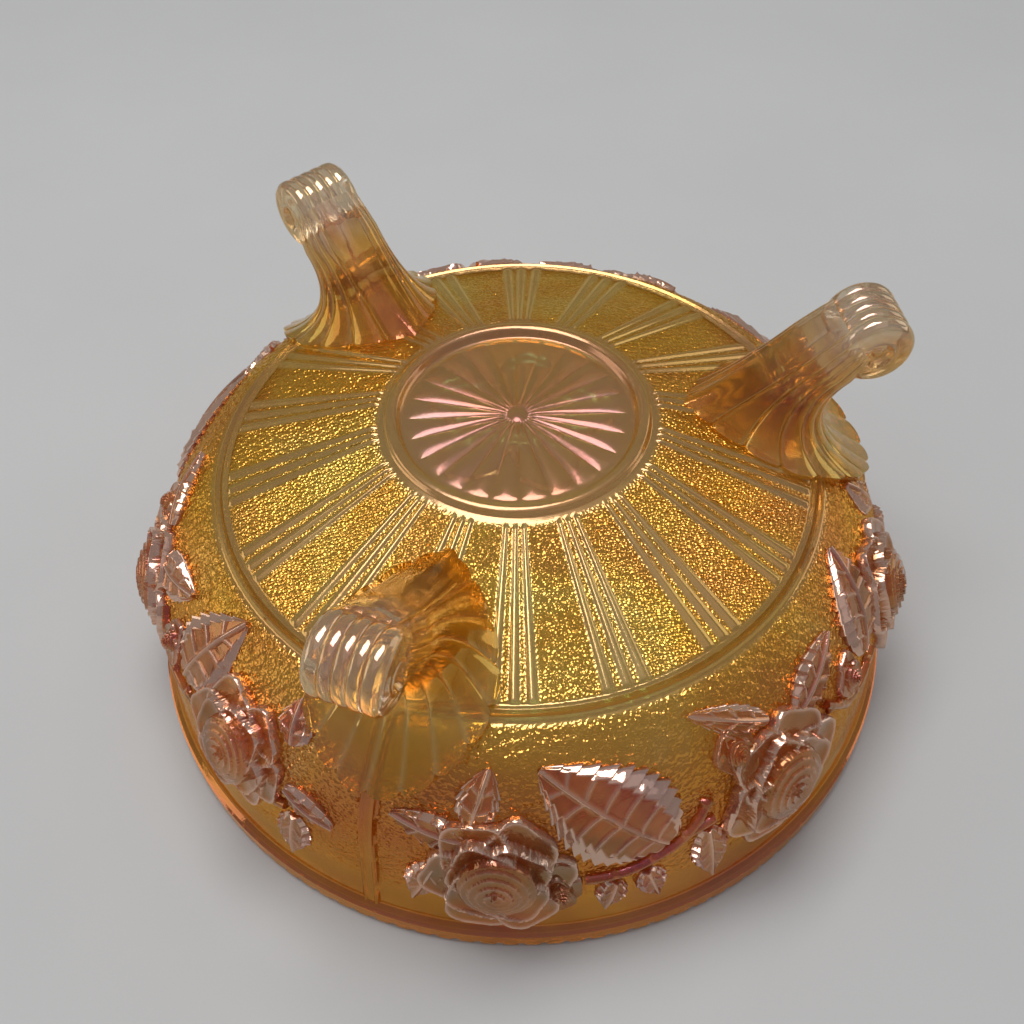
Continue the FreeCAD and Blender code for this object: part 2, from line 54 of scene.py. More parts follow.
TURN = 2.0 * math.pi
PANELS = 3
PANEL_TURN = TURN / PANELS


def far_corner(node):
    """Highest corner of a CAD node, in millimetres."""
    return Vector(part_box(node)[1]) / MM


RIM_RADIUS = far_corner("rim_band").x
RIM_HEIGHT = far_corner("rim_band").z
BEAD_OUTER = far_corner("bead_ring").x
COLLAR_OUTER = far_corner("collar_ring").x
COLLAR_INNER = far_corner("star_medallion").x
COLLAR_TOP = far_corner("collar_ring").z
FOOT_REACH = far_corner("foot_1").x
FOOT_TOP = far_corner("foot_1").z

GLASS = 4.5                    # thickness of the wall
RIM_LIP = 6.0                  # width of the flat that the bowl lies on
RIM_BEVEL = 1.0
RIM_NOTCHES = 120
NOTCH_DEPTH, NOTCH_WIDTH = 0.8, 1.1
WALL_FOOT = RIM_RADIUS - 1.9
WAIST = (RIM_RADIUS - 5.0, RIM_HEIGHT * 4.0)
BEAD_LEVEL = 62.0
SHOULDER_RISE = 4.1
COLLAR_RISE = 1.5
COLLAR_LEVEL = COLLAR_TOP - COLLAR_RISE
MEDAL_LEVEL = COLLAR_LEVEL - 0.6
BEAD_RIDGES = (BEAD_OUTER - 2.5, BEAD_OUTER - 0.8)
BEAD_RISE, BEAD_WIDTH = 0.8, 1.7
SEAM_RISE, SEAM_HALF = 0.7, 2.2
RIB_GROUPS = 18
RIB_OFFSETS = (-3.3, 0.2, 3.4)  # degrees from the group's middle
RIB_WIDTH = 3.7                # degrees
RIB_RISE = 0.7
STAR_PETALS = 24
STAR_RISE = 0.55
HUB_RISE, HUB_WIDTH = 0.6, 9.0
MOTIF_PETALS = 5
WALL_GRAIN, WALL_GRAIN_RISE = 1.25, 0.42
CONE_GRAIN, CONE_GRAIN_RISE = 1.1, 0.18
AROUND = 1440                  # mesh columns round the bowl
SUNK = 0.4                     # how far raised pieces reach into the glass below them

# Finish of the glass, kept on the mesh for the materials.  On the bowl it is the share of stipple, on the
# garland the share of lip, vein or bevel, and on a foot the share of crease; 0 is plain smooth glass.  The
# garland's lips, veins and bevels are also painted paler by it, partly as a painted highlight.
INSIDE = -1.0                  # the bowl's inner face
SMOOTH = 0.0

# ---------------------------------------------------------------------------------------------------
# Meshes
# ---------------------------------------------------------------------------------------------------


class Skin:
    """A closed surface made of rings of points, joined one to the next; each point has a finish."""

    def __init__(self):
        self.rings = []
        self.marks = []
        self.faces = []
        self.total = 0

    def ring(self, points, mark=SMOOTH):
        """Adds a ring and returns the numbers of its points; mark is their finish, one or one for each."""
        self.rings.append(np.asarray(points, float).reshape(-1, 3))
        self.marks.append(np.zeros(len(self.rings[-1])) + mark)
        numbers = np.arange(self.total, self.total + len(self.rings[-1]))
        self.total += len(numbers)
        return numbers

    def join(self, a, b):
        """Faces between two rings, of which the second may have half as many points."""
        a_next = np.roll(a, -1)
        if len(a) == len(b):
            self.faces += np.stack([a, a_next, np.roll(b, -1), b], 1).tolist()
            return
        even, odd, after = a[0::2], a[1::2], np.roll(a, -2)[0::2]
        b_next = np.roll(b, -1)
        for corners in ((even, odd, b), (odd, after, b_next), (odd, b_next, b)):
            self.faces += np.stack(corners, 1).tolist()

    def close(self, ring, point):
        """A fan from a ring to one point."""
        tip = self.ring([point])[0]
        self.faces += np.stack([ring, np.roll(ring, -1), np.full(len(ring), tip)], 1).tolist()

    def strip(self, loops, marks):
        """Adds loops of points in order and joins them; returns the first and last ring's numbers."""
        rings = [self.ring(loop, mark) for loop, mark in zip(loops, marks)]
        for a, b in zip(rings, rings[1:]):
            self.join(a, b)
        return rings[0], rings[-1]

    def capped(self, loops, marks=None):
        """A closed tube of loops, with both ends drawn to their middles."""
        first, last = self.strip(loops, marks or [SMOOTH] * len(loops))
        self.close(first, np.mean(loops[0], axis=0))
        self.close(last, np.mean(loops[-1], axis=0))

    def mesh(self, name):
        """The surface as a Blender mesh in metres, with its finish as a point attribute."""
        mesh = bpy.data.meshes.new(name)
        mesh.from_pydata((np.vstack(self.rings) * MM).tolist(), [], self.faces)
        finish = mesh.attributes.new("finish", "FLOAT", "POINT")
        finish.data.foreach_set("value", np.concatenate(self.marks))
        work = bmesh.new()
        work.from_mesh(mesh)
        bmesh.ops.recalc_face_normals(work, faces=work.faces)
        work.to_mesh(mesh)
        work.free()
        return mesh


def crease(mesh, degrees):
    """Smooth shading with sharp edges where faces meet at more than an angle."""
    work = bmesh.new()
    work.from_mesh(mesh)
    for face in work.faces:
        face.smooth = True
    for edge in work.edges:
        edge.smooth = not edge.is_manifold or edge.calc_face_angle() < math.radians(degrees)
    work.to_mesh(mesh)
    work.free()


def creased(skin, name, degrees=50.0):
    """A skin's mesh, smooth but for the edges that are sharper than an angle."""
    mesh = skin.mesh(name)
    crease(mesh, degrees)
    return mesh


def place(name, mesh, material, slot, *nodes):
    """Puts a piece in the scene in the place of the CAD nodes that it stands for."""
    piece = bpy.data.objects.new(name, mesh)
    bpy.context.scene.collection.objects.link(piece)
    mesh.materials.append(material)
    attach(piece, "root")
    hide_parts(*nodes)
    return piece


def place_in_panels(name, mesh, material, slot):
    """One copy of a piece for each mould panel, named after the CAD node that it stands for."""
    for panel in range(PANELS):
        copy = mesh.copy()
        copy.transform(Matrix.Rotation(panel * PANEL_TURN, 4, "Z"))
        node = "%s_%d" % (name, panel + 1)
        place(node + "_glass", copy, material, slot, node)


def smooth_step(value):
    """Eases from 0 to 1 while the value goes from 0 to 1."""
    share = np.clip(value, 0.0, 1.0)
    return share * share * (3.0 - 2.0 * share)


def ridge(offset, width):
    """A rounded ridge of height 1 whose foot is width wide."""
    return np.sqrt(np.clip(1.0 - (2.0 * offset / width) ** 2, 0.0, None))


def soft_ridge(offset, width):
    """A ridge of height 1 that runs out gently to both sides."""
    return 0.5 + 0.5 * np.cos(np.clip(TURN * offset / width, -math.pi, math.pi))


def angle_from(azimuth, middle):
    """Signed angle from a middle azimuth, between minus and plus half a turn."""
    return (azimuth - middle + math.pi) % TURN - math.pi


def off_line(azimuth, reach, count):
    """Distance round the bowl to the nearest of evenly spaced lines, the first of them at azimuth 0."""
    return np.abs(angle_from(azimuth * count, 0.0)) / count * reach


# ---------------------------------------------------------------------------------------------------
# The wall's line
# ---------------------------------------------------------------------------------------------------


def straight(start, end, pitch):
    """Points after a start, up to an end, on a straight line."""
    steps = max(1, math.ceil(math.dist(start, end) / pitch))
    share = np.arange(1, steps + 1)[:, None] / steps
    return np.array(start) + share * (np.array(end) - np.array(start))


def bulged(start, end, rise, pitch):
    """Points after a start, up to an end, on an arc that stands out from its chord by rise."""
    half = math.dist(start, end) / 2.0
    radius = (half ** 2 + rise ** 2) / (2.0 * rise)
    along = (np.array(end) - np.array(start)) / (2.0 * half)
    middle = (np.array(start) + np.array(end)) / 2.0
    centre = middle + np.array((-along[1], along[0])) * (radius - rise)
    spread = math.asin(half / radius)
    out = -np.array((-along[1], along[0]))
    steps = math.ceil(2.0 * spread * radius / pitch)
    turns = np.linspace(-spread, spread, steps + 1)[1:, None]
    return centre + radius * (np.cos(turns) * out + np.sin(turns) * along)


def line_normals(rows):
    """Outward normals of a line that climbs round the outside towards the axis."""
    run = np.gradient(rows, axis=0)
    run /= np.linalg.norm(run, axis=1)[:, None]
    return np.stack([run[:, 1], -run[:, 0]], 1)


WALL_ROWS = np.vstack([
    [(WALL_FOOT, RIM_HEIGHT)],
    straight((WALL_FOOT, RIM_HEIGHT), WAIST, 0.45),
    bulged(WAIST, (BEAD_OUTER, BEAD_LEVEL), SHOULDER_RISE, 0.42)])
WALL_NORMALS = line_normals(WALL_ROWS)


def walked_along(path):
    """Distance along a path to each of its points."""
    return np.concatenate([[0.0], np.cumsum(np.linalg.norm(np.diff(path, axis=0), axis=1))])


WALL_RUN = RIM_HEIGHT + walked_along(WALL_ROWS)


def run_at(height):
    """Distance up the wall's line at a height."""
    return float(np.interp(height, WALL_ROWS[:, 1], WALL_RUN))


def on_wall(azimuth, run, lift):
    """Points that stand off the wall by lift."""
    reach = np.interp(run, WALL_RUN, WALL_ROWS[:, 0]) + lift * np.interp(run, WALL_RUN, WALL_NORMALS[:, 0])
    level = np.interp(run, WALL_RUN, WALL_ROWS[:, 1]) + lift * np.interp(run, WALL_RUN, WALL_NORMALS[:, 1])
    return np.stack(np.broadcast_arrays(reach * np.cos(azimuth), reach * np.sin(azimuth), level), -1)


def beside(azimuth, run, across, up, lift):
    """Points on the wall at distances across and up from a place on it."""
    here = run + up
    reach = np.interp(here, WALL_RUN, WALL_ROWS[:, 0])
    return on_wall(azimuth + across / reach, here, lift)


def cone_level(reach):
    """Height of the underside's shallow cone."""
    share = (reach - COLLAR_OUTER) / (BEAD_OUTER - COLLAR_OUTER)
    return COLLAR_LEVEL + (BEAD_LEVEL - COLLAR_LEVEL) * share


def skin_level(reach):
    """Height of the bowl's outer surface at a distance from the axis."""
    wall = np.interp(-reach, -WALL_ROWS[:, 0], WALL_ROWS[:, 1])
    return np.where(reach > BEAD_OUTER, wall, np.minimum(cone_level(reach), COLLAR_LEVEL))


# ---------------------------------------------------------------------------------------------------
# The garland's places in one panel, each an azimuth in degrees from the panel's first seam and a height
# ---------------------------------------------------------------------------------------------------

# Azimuth, height and radius.
ROSES = {"lower": (18.0, 30.0, 15.0), "side": (60.0, 34.0, 15.0), "upper": (97.0, 39.0, 13.5)}

# Azimuth, height, direction of the tip in degrees, length and width.
LEAVES = [
    (33.0, 46.0, 137.0, 36.0, 25.0),
    (86.0, 51.5, 68.0, 27.0, 18.0),
    (8.5, 43.0, 165.0, 17.0, 9.0),
    (15.5, 51.0, 75.0, 14.0, 9.0),
    (8.0, 25.0, 250.0, 16.0, 9.0),
    (33.0, 19.5, 255.0, 10.0, 7.0),
    (39.0, 20.0, 285.0, 11.0, 7.0),
    (47.5, 23.0, 275.0, 20.0, 9.0),
    (53.5, 55.0, 150.0, 20.0, 6.5),
    (70.5, 51.0, 25.0, 20.0, 11.0),
    (106.5, 54.0, 95.0, 11.0, 9.0),
    (111.0, 36.0, -20.0, 14.0, 8.0),
    (108.0, 22.0, 265.0, 16.0, 9.0),
]

# Azimuth, height and radius.
BUDS = [(26.5, 24.0, 5.0), (53.0, 49.0, 5.5), (77.0, 42.0, 5.0)]

# Azimuth and height of the places that each stem runs through.
STEMS = [
    [(29.5, 27.0), (34.0, 27.0), (39.0, 29.5), (44.0, 34.5), (47.5, 42.0)],
    [(70.5, 42.5), (75.0, 36.0), (80.0, 34.0), (86.0, 36.0)],
    [(44.0, 34.5), (48.0, 35.5)],
    [(104.0, 31.0), (107.0, 32.0)],
]

# Middle of a foot's base, and its reach along and across the line to the bowl's axis.
FOOT_MIDDLE, FOOT_DEPTH, FOOT_WIDTH = 65.0, 24.0, 21.5


def foot_narrowing(angle):
    """Width of a foot's base as a share of an oval's: it comes to a point on the side towards the star."""
    return 1.0 - 0.75 * np.abs(np.sin(angle / 2.0)) ** 6


def foot_plan(angle):
    """Outline of a foot's base seen from above."""
    return FOOT_MIDDLE + FOOT_DEPTH * np.cos(angle), FOOT_WIDTH * np.sin(angle) * foot_narrowing(angle)


def outside_feet(azimuth, reach):
    """1 where the glass is free and 0 under a foot."""
    turned = angle_from(azimuth % PANEL_TURN, 0.0)
    turned = np.where(turned > PANEL_TURN / 2.0, turned - PANEL_TURN, turned)
    along = (reach * np.cos(turned) - FOOT_MIDDLE) / FOOT_DEPTH
    across = reach * np.sin(turned) / FOOT_WIDTH
    across /= foot_narrowing(np.arctan2(across, along))
    return smooth_step((np.hypot(along, across) - 0.88) / 0.1)


def outside_garland(azimuth, run):
    """1 where the wall is free and 0 in an oval a little inside each rose or leaf."""
    free = np.ones_like(azimuth)
    panel_azimuth = azimuth % PANEL_TURN
    roses = [(azimuth_at, height, 90.0, radius * 1.7, radius * 1.7)
             for azimuth_at, height, radius in ROSES.values()]
    for spot_azimuth, height, direction, length, width in roses + LEAVES:
        across = (panel_azimuth - math.radians(spot_azimuth)) * WAIST[0]
        up = run - run_at(height)
        cosine, sine = math.cos(math.radians(direction)), math.sin(math.radians(direction))
        along = (across * cosine + up * sine) / (length * 0.47)
        side = (up * cosine - across * sine) / (width * 0.42)
        free = np.minimum(free, smooth_step((np.hypot(along, side) - 0.85) / 0.15))
    return free


# ---------------------------------------------------------------------------------------------------
# Surface relief of the bowl's shell
# ---------------------------------------------------------------------------------------------------


def stipple(points, pitch):
    """Rounded grains about pitch apart, from 0 between them to 1 on top.

    Space is cut into cubes with one grain in each, moved off the cube's middle by a fixed hash of its place.
    """
    cell = np.floor(points / pitch)
    nearest = np.full(len(points), 9.0)
    for shift in np.ndindex(3, 3, 3):
        corner = cell + (np.array(shift) - 1)
        seed = corner @ np.array((12.9898, 78.233, 37.719))
        jitter = np.stack([np.modf(np.sin(seed + k) * 43758.5453)[0] for k in (0.0, 1.7, 4.1)], 1)
        grain = (corner + 0.5 + 0.42 * jitter) * pitch
        nearest = np.minimum(nearest, np.sum((points - grain) ** 2, axis=1))
    return np.clip(1.0 - np.sqrt(nearest) / (0.75 * pitch), 0.0, 1.0)


# The reliefs take the azimuths of a row's points and the row's distance from the axis, height and place up
# the wall's line.  They return how far the points stand out and their finish.


def rim_relief(azimuth, reach, level, run):
    """Small notches along the rim's lower edge."""
    notch = off_line(azimuth, RIM_RADIUS, RIM_NOTCHES) < NOTCH_WIDTH / 2.0
    edge = level < RIM_BEVEL * 1.75 and reach > RIM_RADIUS - RIM_BEVEL * 1.5
    return -NOTCH_DEPTH * notch * edge, SMOOTH


def wall_relief(azimuth, reach, level, run):
    """Stipple on the shoulder that fades out down the wall, and the flat lines of the mould's joints."""
    points = on_wall(azimuth, run, 0.0)
    grain = stipple(points, WALL_GRAIN) * WALL_GRAIN_RISE
    rough = smooth_step((level - 13.0) / 14.0) * smooth_step((BEAD_LEVEL - level) / 1.0)
    off_seam = off_line(azimuth, reach, PANELS)
    seam = smooth_step((SEAM_HALF - off_seam) / 0.5) * SEAM_RISE
    seam += smooth_step((0.6 - np.abs(off_seam - 1.4)) / 0.45) * 0.5
    free = outside_garland(azimuth, run) * outside_feet(azimuth, reach) * (off_seam > SEAM_HALF + 0.2)
    rough = rough * free
    return seam + grain * rough, rough


def cone_relief(azimuth, reach, level, run):
    """Double bead, groups of radial ribs that widen outwards, and stippled glass between them."""
    bead = sum(BEAD_RISE * soft_ridge(reach - middle, BEAD_WIDTH) for middle in BEAD_RIDGES)
    free = outside_feet(azimuth, reach)
    span = smooth_step((reach - COLLAR_OUTER - 1.0) / 2.0)
    span *= smooth_step((BEAD_RIDGES[0] - 0.8 - reach) / 0.8)
    group = np.degrees(angle_from(azimuth * RIB_GROUPS, 0.0)) / RIB_GROUPS
    ribs = sum(RIB_RISE * soft_ridge(group - offset, RIB_WIDTH) for offset in RIB_OFFSETS)
    line = 0.3 * ridge(off_line(azimuth, reach, PANELS), 0.8) * (reach < FOOT_MIDDLE)
    raised = np.maximum(ribs, line) * span * free
    points = np.stack([reach * np.cos(azimuth), reach * np.sin(azimuth), np.full_like(azimuth, level)], 1)
    rough = (1.0 - smooth_step(ribs / RIB_RISE / 0.5)) * span * free
    return bead + raised + CONE_GRAIN_RISE * stipple(points, CONE_GRAIN) * rough, rough


def collar_relief(azimuth, reach, level, run):
    """One smooth round ring."""
    middle = (COLLAR_OUTER + COLLAR_INNER) / 2.0
    return COLLAR_RISE * ridge(reach - middle, COLLAR_OUTER - COLLAR_INNER) * np.ones_like(azimuth), SMOOTH


def star_relief(azimuth, reach, level, run):
    """A star of long petals round a small domed hub."""
    across = angle_from(azimuth * STAR_PETALS, 0.0) / math.pi
    end = COLLAR_INNER - 2.0
    length = ridge(max(0.0, reach - end * 0.72), end * 0.56) * smooth_step(reach / 5.0)
    petals = STAR_RISE * np.clip(1.0 - across ** 2, 0.0, None) ** 0.75 * length
    hub = HUB_RISE * soft_ridge(reach, HUB_WIDTH)
    return np.maximum(petals, hub), SMOOTH


def motif_relief(azimuth, reach):
    """Large soft petals pressed into the inside of the base."""
    petal = np.abs(np.cos(azimuth * MOTIF_PETALS / 2.0)) ** 0.7
    outline = 9.0 + 15.0 * petal
    return 0.9 * smooth_step((outline - reach) / 2.5) * smooth_step((reach - 4.0) / 3.0)


def outside_zones():
    """The outside in zones from the lip to the middle, each with its rows and its relief."""
    edge = RIM_RADIUS - RIM_BEVEL
    band_top = RIM_HEIGHT * 0.68
    corners = [(RIM_RADIUS, RIM_BEVEL), (RIM_RADIUS, band_top), (RIM_RADIUS - 1.2, RIM_HEIGHT * 0.76),
               (RIM_RADIUS - 0.5, RIM_HEIGHT * 0.84), (RIM_RADIUS - 1.2, RIM_HEIGHT * 0.92),
               (WALL_FOOT, RIM_HEIGHT)]
    rim = [straight((RIM_RADIUS - RIM_LIP, 0.0), (edge, 0.0), 1.2)]
    rim += [straight(a, b, 0.5) for a, b in zip([(edge, 0.0)] + corners, corners)]
    cone = straight((BEAD_OUTER, BEAD_LEVEL), (COLLAR_OUTER, COLLAR_LEVEL), 0.42)
    collar = straight((COLLAR_OUTER, COLLAR_LEVEL), (COLLAR_INNER, COLLAR_LEVEL), 0.3)
    star = np.vstack([straight((COLLAR_INNER, COLLAR_LEVEL), (COLLAR_INNER - 0.6, MEDAL_LEVEL), 0.3),
                      straight((COLLAR_INNER - 0.6, MEDAL_LEVEL), (1.5, MEDAL_LEVEL), 0.45)])
    return [(np.vstack(rim), rim_relief), (WALL_ROWS[1:], wall_relief), (cone, cone_relief),
            (collar, collar_relief), (star, star_relief)]


def columns_at(reach):
    """Mesh columns round the bowl: fewer where the rows get short."""
    for limit, share in ((22.0, 1), (11.0, 2), (5.0, 4)):
        if reach > limit:
            return AROUND // share
    return AROUND // 8


def azimuths(count):
    """Evenly spaced azimuths, the first at 0."""
    return np.arange(count) * TURN / count


def shell_outside(skin, ring):
    """Joins the outside's rows to the lip's inner ring, up to the middle of the star."""
    for rows, relief in outside_zones():
        normals = WALL_NORMALS[1:] if relief is wall_relief else line_normals(rows)
        runs = WALL_RUN[1:] if relief is wall_relief else np.zeros(len(rows))
        for (reach, level), normal, run in zip(rows, normals, runs):
            azimuth = azimuths(min(columns_at(reach), len(ring)))
            lift, rough = relief(azimuth, reach, level, run)
            out = reach + normal[0] * lift
            row = np.stack([out * np.cos(azimuth), out * np.sin(azimuth), level + normal[1] * lift], 1)
            following = skin.ring(row, rough)
            skin.join(ring, following)
            ring = following
    skin.close(ring, (0.0, 0.0, MEDAL_LEVEL + 0.8))


def shell_inside(skin, ring):
    """Joins the smooth inside to the lip's inner ring, up to its middle."""
    tilt = math.atan2(COLLAR_LEVEL - BEAD_LEVEL, BEAD_OUTER - COLLAR_OUTER)
    drop = GLASS / math.cos(tilt)
    waist = (WAIST[0] - GLASS, WAIST[1])
    bead = (BEAD_OUTER - 1.5, BEAD_LEVEL - drop)
    rows = np.vstack([
        straight((RIM_RADIUS - RIM_LIP, 0.0), (WALL_FOOT - GLASS, RIM_HEIGHT), 4.0),
        straight((WALL_FOOT - GLASS, RIM_HEIGHT), waist, 2.0),
        bulged(waist, bead, SHOULDER_RISE, 1.5),
        straight(bead, (COLLAR_OUTER, COLLAR_LEVEL - drop), 2.0),
        straight((COLLAR_OUTER, COLLAR_LEVEL - drop), (3.0, COLLAR_LEVEL - drop), 0.8)])
    for reach, level in rows:
        azimuth = azimuths(max(AROUND // 4, len(ring) // 2) if reach > 8.0 else AROUND // 8)
        lift = motif_relief(azimuth, reach)
        row = np.stack([reach * np.cos(azimuth), reach * np.sin(azimuth), level - lift], 1)
        following = skin.ring(row, INSIDE)
        skin.join(ring, following)
        ring = following
    skin.close(ring, (0.0, 0.0, COLLAR_LEVEL - drop))


def bowl_shell():
    """The bowl's whole body: band, wall, bead, ribbed underside, collar and star."""
    skin = Skin()
    azimuth = azimuths(AROUND)
    reach = RIM_RADIUS - RIM_LIP
    lip = skin.ring(np.stack([reach * np.cos(azimuth), reach * np.sin(azimuth), 0.0 * azimuth], 1))
    shell_outside(skin, lip)
    shell_inside(skin, lip)
    return creased(skin, "bowl_shell", 60.0)


# ---------------------------------------------------------------------------------------------------
# Garland
# ---------------------------------------------------------------------------------------------------


PETAL_COLUMNS, PETAL_ROWS = 168, 60
LEAF_TOP_POINTS, LEAF_UNDER_POINTS = 57, 9
STEM_TOP_POINTS, STEM_UNDER_POINTS = 11, 4
STEM_HALF = 1.25
THORN_PITCH = 4.6


def petal_pile(x, y, petals):
    """Height and lip share of a pile of dished petals.

    Each petal has the x and y of its middle, a radius, the height of its floor and the height of its lip.
    """
    top = np.full_like(x, 0.3)
    lip = np.zeros_like(x)
    for middle_x, middle_y, radius, low, high in petals:
        turn = np.arctan2(y - middle_y, x - middle_x)
        away = np.hypot(x - middle_x, y - middle_y) / radius * (1.0 + 0.09 * np.sin(4.0 * turn + middle_x))
        dish = (low + (high - low) * np.clip(away, 0.0, 1.0) ** 3) * smooth_step((1.0 - away) * radius / 0.7)
        lip = np.where(dish > top, smooth_step((away - 0.78) / 0.14), lip)
        top = np.maximum(top, dish)
    return top, lip


def tier(count, turn, middle, radius, low, high):
    """Petals evenly round a flower, each a little higher than the one before."""
    return [(middle * math.cos(turn + k * TURN / count), middle * math.sin(turn + k * TURN / count),
             radius, low + 0.25 * k, high + 0.25 * k) for k in range(count)]


def blossom(skin, azimuth, height, radius, petals, coil, crown, stretch=1.0):
    """A flower seen from above: overlapping dished petals round a coiled heart."""
    azimuth, run = math.radians(azimuth), run_at(height)
    angle = azimuths(PETAL_COLUMNS)
    cosine, sine = np.cos(angle), np.sin(angle)

    # The outline is the farthest place in each direction where a petal still stands up.
    outline = np.zeros_like(angle)
    for reach in np.linspace(0.3, 1.5, 61) * radius:
        lift, _ = petal_pile(reach * cosine, reach * sine, petals)
        outline = np.where(lift > 0.6, reach, outline)

    # The heart is a low dome with a step that winds outwards.
    heart = radius * coil
    loops, marks = [], []
    for share in np.linspace(0.02, 1.0, PETAL_ROWS):
        reach = outline * share
        lift, lip = petal_pile(reach * cosine, reach * sine, petals)
        wound = (reach / (heart * 0.19) - angle / TURN) % 1.0
        dome = crown - 2.2 * (reach / heart) ** 2 + 0.45 * (wound ** 2 - 0.3)
        dome = dome * smooth_step((heart - reach) / 0.6)
        # The heart's winding step gets a lip share, which the material paints paler, partly as a painted
        # highlight.
        lip = np.where(dome > lift, 0.35 * smooth_step((wound - 0.6) / 0.3), lip)
        lift = np.maximum(lift, dome)
        loops.append(beside(azimuth, run, reach * cosine, reach * sine * stretch, lift))
        marks.append(lip)

    # The back is flat and lies in the bowl's glass.
    for share in (1.0, 0.5, 0.08):
        reach = outline * share
        loops.append(beside(azimuth, run, reach * cosine, reach * sine * stretch, -SUNK))
        marks.append(SMOOTH)
    skin.capped(loops, marks)


def rose(name):
    """A cabbage rose: six wavy outer petals, four that wrap the heart, and the heart itself."""
    skin = Skin()
    azimuth, height, radius = ROSES[name]
    turn = azimuth * 0.7
    petals = tier(6, turn, radius * 0.62, radius * 0.56, 0.7, 2.3)
    petals += tier(4, turn + 0.7, radius * 0.32, radius * 0.54, 2.0, 4.3)
    blossom(skin, azimuth, height, radius, petals, 0.60, 6.3, 1.1)
    return creased(skin, name + "_rose")


def buds():
    """Closed buds, each a small cup with three petals."""
    skin = Skin()
    for azimuth, height, radius in BUDS:
        petals = tier(3, math.radians(azimuth), radius * 0.35, radius * 0.72, 1.0, 2.0)
        blossom(skin, azimuth, height, radius, petals, 0.55, 3.6, 1.3)
    return creased(skin, "buds")


def leaf(skin, azimuth, height, direction, length, width, tilt):
    """A saw-edged leaf with a midrib, curved veins and a bevelled edge; tilt lifts one side of it."""
    azimuth, run, direction = math.radians(azimuth), run_at(height), math.radians(direction)
    teeth = max(5, round(length / 3.0))
    veins = max(3, round(length / 5.5))
    top = np.linspace(-1.0, 1.0, LEAF_TOP_POINTS)
    bottom = np.linspace(1.0, -1.0, LEAF_UNDER_POINTS)
    side = np.abs(top)
    bevel = smooth_step((side - 0.6) / 0.4)
    loops, marks = [], []
    for share in np.linspace(0.0, 1.0, max(30, round(length / 0.36))):
        swell = math.sin(math.pi * (0.04 + 0.95 * share) ** 0.85) ** 0.8
        tooth = (share * teeth) % 1.0
        half = width / 2.0 * swell * (1.06 - 0.18 * tooth) + 0.15
        plate = (1.5 + 0.7 * side - 1.5 * bevel) * (0.4 + 0.6 * swell) + tilt * top * swell
        midrib = 0.9 * np.exp(-(top * half / 0.6) ** 2)
        vein = np.exp(-(((share * veins - side ** 0.8 * 0.9) % 1.0 - 0.5) / 0.085) ** 2) * (1.0 - bevel)
        facet = 0.75 * smooth_step((side - 0.58) / 0.1) * (0.5 - tooth) * swell
        lift = np.concatenate([plate + np.maximum(midrib, 0.5 * vein * swell) + facet,
                               np.full(len(bottom), -SUNK)])
        across = np.concatenate([top, bottom]) * half
        along = length * (share - 0.5) + 0.1 * half * np.cos(across / half * math.pi)
        loops.append(beside(
            azimuth, run, along * math.cos(direction) - across * math.sin(direction),
            along * math.sin(direction) + across * math.cos(direction), lift))
        # Bevel, midrib and veins get a lip share, which the material paints paler, partly as a painted
        # highlight.
        lip = np.maximum(smooth_step((side - 0.6) / 0.08), np.maximum(midrib, 0.8 * vein))
        marks.append(np.concatenate([lip, np.zeros(len(bottom))]))
    skin.capped(loops, marks)


def leaves():
    """All leaves of a panel, tilted by turns to either side."""
    skin = Skin()
    for number, spot in enumerate(LEAVES):
        leaf(skin, *spot, tilt=0.35 if number % 2 else -0.35)
    return creased(skin, "leaves")


def smooth_path(points, pitch):
    """A smooth line through points, sampled about every pitch."""
    points = np.array(points, float)
    ends = np.vstack([2 * points[0] - points[1], points, 2 * points[-1] - points[-2]])
    path = [points[:1]]
    for a, b, c, d in zip(ends, ends[1:], ends[2:], ends[3:]):
        steps = max(2, math.ceil(np.linalg.norm(c - b) / pitch))
        share = np.arange(1, steps + 1)[:, None] / steps
        path.append(0.5 * (2 * b + (c - a) * share + (2 * a - 5 * b + 4 * c - d) * share ** 2
                           + (3 * b - a - 3 * c + d) * share ** 3))
    return np.vstack(path)


def stem(skin, stops):
    """A rounded stem that lies on the wall, with thorns on alternate sides."""
    flat = [(math.radians(azimuth) * WAIST[0], run_at(height)) for azimuth, height in stops]
    path = smooth_path(flat, 0.45)
    run = np.gradient(path, axis=0)
    run /= np.linalg.norm(run, axis=1)[:, None]
    bend = np.linspace(math.pi, 0.0, STEM_TOP_POINTS)
    across = np.concatenate([np.cos(bend), np.linspace(0.8, -0.8, STEM_UNDER_POINTS)])
    lift = np.concatenate([-SUNK + 2.1 * np.sin(bend), np.full(STEM_UNDER_POINTS, -SUNK)])
    loops = []
    for (x, up), (run_x, run_up), distance in zip(path, run, walked_along(path)):
        phase = distance / THORN_PITCH
        thorn = 1.0 + 1.1 * max(0.0, 1.0 - abs(phase % 1.0 - 0.5) / 0.2)
        side = 1.0 if int(phase) % 2 else -1.0
        half = STEM_HALF * np.where(across * side > 0.3, thorn, 1.0)
        loops.append(on_wall((x - run_up * across * half) / WAIST[0], up + run_x * across * half, lift))
    skin.capped(loops)


def stems():
    """All stems of a panel."""
    skin = Skin()
    for stops in STEMS:
        stem(skin, stops)
    return creased(skin, "stems")


# ---------------------------------------------------------------------------------------------------
# Feet
# ---------------------------------------------------------------------------------------------------

